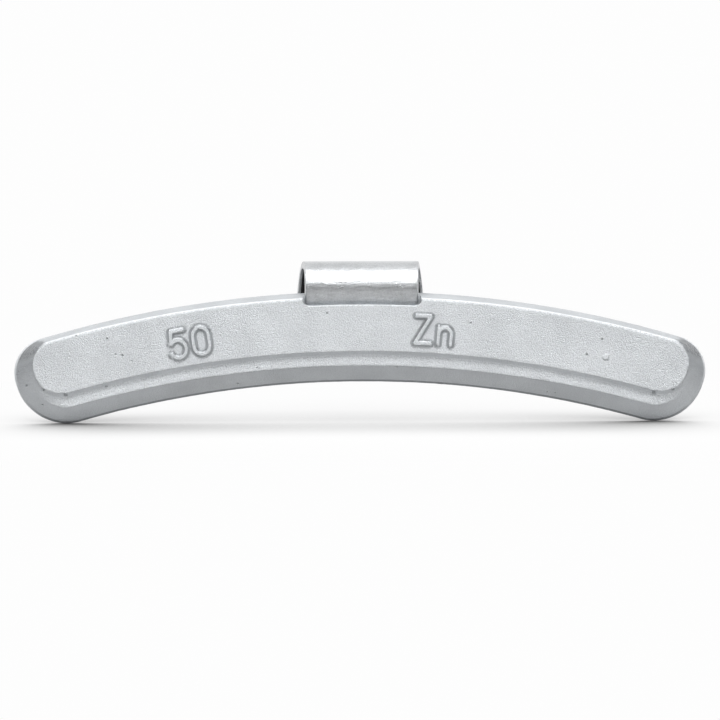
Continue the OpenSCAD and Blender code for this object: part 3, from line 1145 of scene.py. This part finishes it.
class WEIGHT_OT_clip(bpy.types.Operator):
    """Build the spring-steel clip from its bent strip"""

    bl_idname = "weight.clip"
    bl_label = "Clip"

    def execute(self, context):
        scene = context.scene
        c = scene.weight_clip
        material = steel_material(scene.weight_colours)
        path = poly_curve("clip_path", [clip_path(scene.weight_casting, scene.weight_seat, c)])
        piece = new_object("bent_steel_clip", bpy.data.meshes.new("bent_steel_clip"))
        add_tree(piece, bent_strip, {
            "Path": path, "Width": c.width, "Columns": STRIP_COLUMNS, "Rows": STRIP_ROWS,
            "Material": material,
        })
        wall = piece.modifiers.new("wall", "SOLIDIFY")
        wall.thickness = c.thickness
        wall.offset = 1
        rounds = piece.modifiers.new("edges", "BEVEL")
        rounds.width = c.edge
        rounds.segments = EDGE_SEGMENTS
        rounds.limit_method = "ANGLE"
        rounds.angle_limit = EDGE_ANGLE
        add_tree(piece, taper, {
            "Width": c.width, "Bend Widening": math.tan(c.bend_flare),
            "Top Widening": math.tan(c.top_flare), "Leg Widening": math.tan(c.leg_flare),
            "Front": BODY_LOW.y + c.setback, "Blend": c.flare_blend, "Material": material,
        })
        apply_modifiers(piece)
        remove(path)
        shade(piece)
        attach(piece, "root")
        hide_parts("spring_clip")
        return {"FINISHED"}


def stage_floor(st, colours, floor_z):
    """The pale floor, at the object's own foot."""
    r = st.floor_reach
    floor = new_object("floor", mesh_from("floor", [
        (-r, -r, floor_z), (r, -r, floor_z), (r, r, floor_z), (-r, r, floor_z),
    ], [(0, 1, 2, 3)]))
    floor.data.materials.append(floor_material(colours, st))
    floor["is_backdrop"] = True


def stage_wall(st, colours, floor_z):
    """The dim wall behind the camera and at both sides."""
    d = st.wall_distance
    corners = [(-d, 0.0), (-d, -d), (d, -d), (d, 0.0)]
    wall = new_object("dim_room", mesh_from("dim_room", [
        (x, y, z) for z in (floor_z, floor_z + st.wall_height) for x, y in corners
    ], [(0, 1, 5, 4), (1, 2, 6, 5), (2, 3, 7, 6)]))
    wall.data.materials.append(room_material(colours))
    wall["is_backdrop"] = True


def stage_world(st, colours):
    """The room's fill light; what is seen of it is the white backdrop."""
    world = bpy.data.worlds.new("studio")
    world.use_nodes = True
    world.node_tree.nodes.clear()
    t = Tree(world.node_tree)
    lit, white = (
        t.node("ShaderNodeBackground", {"Color": (*plain, 1), "Strength": strength}).outputs[0]
        for plain, strength in (((1, 1, 1), st.fill), (colours.backdrop, 1.0))
    )
    both = t.node("ShaderNodeMixShader", {0: seen_share(t), 1: lit, 2: white}).outputs[0]
    t.node("ShaderNodeOutputWorld", {"Surface": both})
    bpy.context.scene.world = world


def stage_softbox(st):
    """A large softbox above and in front, which faces the middle of the front."""
    middle = Vector((0, BODY_LOW.y, (BODY_LOW.z + BODY_HIGH.z) / 2))
    up = Vector((0, -math.cos(st.box_elevation), math.sin(st.box_elevation)))
    lamp = bpy.data.lights.new("softbox", "AREA")
    lamp.shape = "RECTANGLE"
    lamp.size, lamp.size_y = st.box_width, st.box_depth
    lamp.energy = st.box_level * math.pi * st.box_width * st.box_depth
    softbox = new_object("softbox", lamp)
    softbox.location = middle + up * st.box_distance
    softbox.rotation_euler = (-up).to_track_quat("-Z", "Y").to_euler()


def stage_camera(st):
    """The camera, whose lens frames the view's width at the front panel."""
    aim = Vector((st.aim_x, BODY_LOW.y, st.aim_z))
    way = Vector((
        math.sin(st.azimuth) * math.cos(st.elevation),
        -math.cos(st.azimuth) * math.cos(st.elevation),
        math.sin(st.elevation),
    ))
    lens = bpy.data.cameras.new("camera")
    lens.lens = lens.sensor_width * st.distance / st.view_width
    camera = new_object("camera", lens)
    camera.location = aim + way * st.distance
    camera.rotation_euler = (-way).to_track_quat("-Z", "Y").to_euler()
    bpy.context.scene.camera = camera


class WEIGHT_OT_stage(bpy.types.Operator):
    """Set up the pale floor, the soft light and the camera"""

    bl_idname = "weight.stage"
    bl_label = "Stage"

    def execute(self, context):
        scene = context.scene
        scene.view_settings.view_transform = "Standard"
        st, colours = scene.weight_stage, scene.weight_colours
        floor_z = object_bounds()[0][2]
        stage_floor(st, colours, floor_z)
        stage_wall(st, colours, floor_z)
        stage_world(st, colours)
        stage_softbox(st)
        stage_camera(st)
        return {"FINISHED"}


OPERATORS = (WEIGHT_OT_casting, WEIGHT_OT_clip, WEIGHT_OT_stage)


class WEIGHT_PT_panel(bpy.types.Panel):
    """Lists the pieces and their sizes"""

    bl_idname = "WEIGHT_PT_panel"
    bl_label = "Balance weight"
    bl_space_type = "VIEW_3D"
    bl_region_type = "UI"
    bl_category = "Weight"

    def draw(self, context):
        for operator in OPERATORS:
            self.layout.operator(operator.bl_idname)
        for name, group in GROUPS.items():
            box = self.layout.box()
            box.label(text=group.__doc__)
            for key in group.__annotations__:
                box.prop(getattr(context.scene, name), key)


def register():
    """Registers the classes and hangs the property groups on the scene."""
    for kind in (*GROUPS.values(), *OPERATORS, WEIGHT_PT_panel):
        bpy.utils.register_class(kind)
    for name, group in GROUPS.items():
        setattr(bpy.types.Scene, name, bpy.props.PointerProperty(type=group))


def unregister():
    """Takes away what register added."""
    for name in GROUPS:
        delattr(bpy.types.Scene, name)
    for kind in reversed((*GROUPS.values(), *OPERATORS, WEIGHT_PT_panel)):
        bpy.utils.unregister_class(kind)


def main():
    """Builds the weight and the stage."""
    register()
    bpy.ops.weight.casting()
    bpy.ops.weight.clip()
    bpy.ops.weight.stage()


if __name__ == "__main__":
    main()
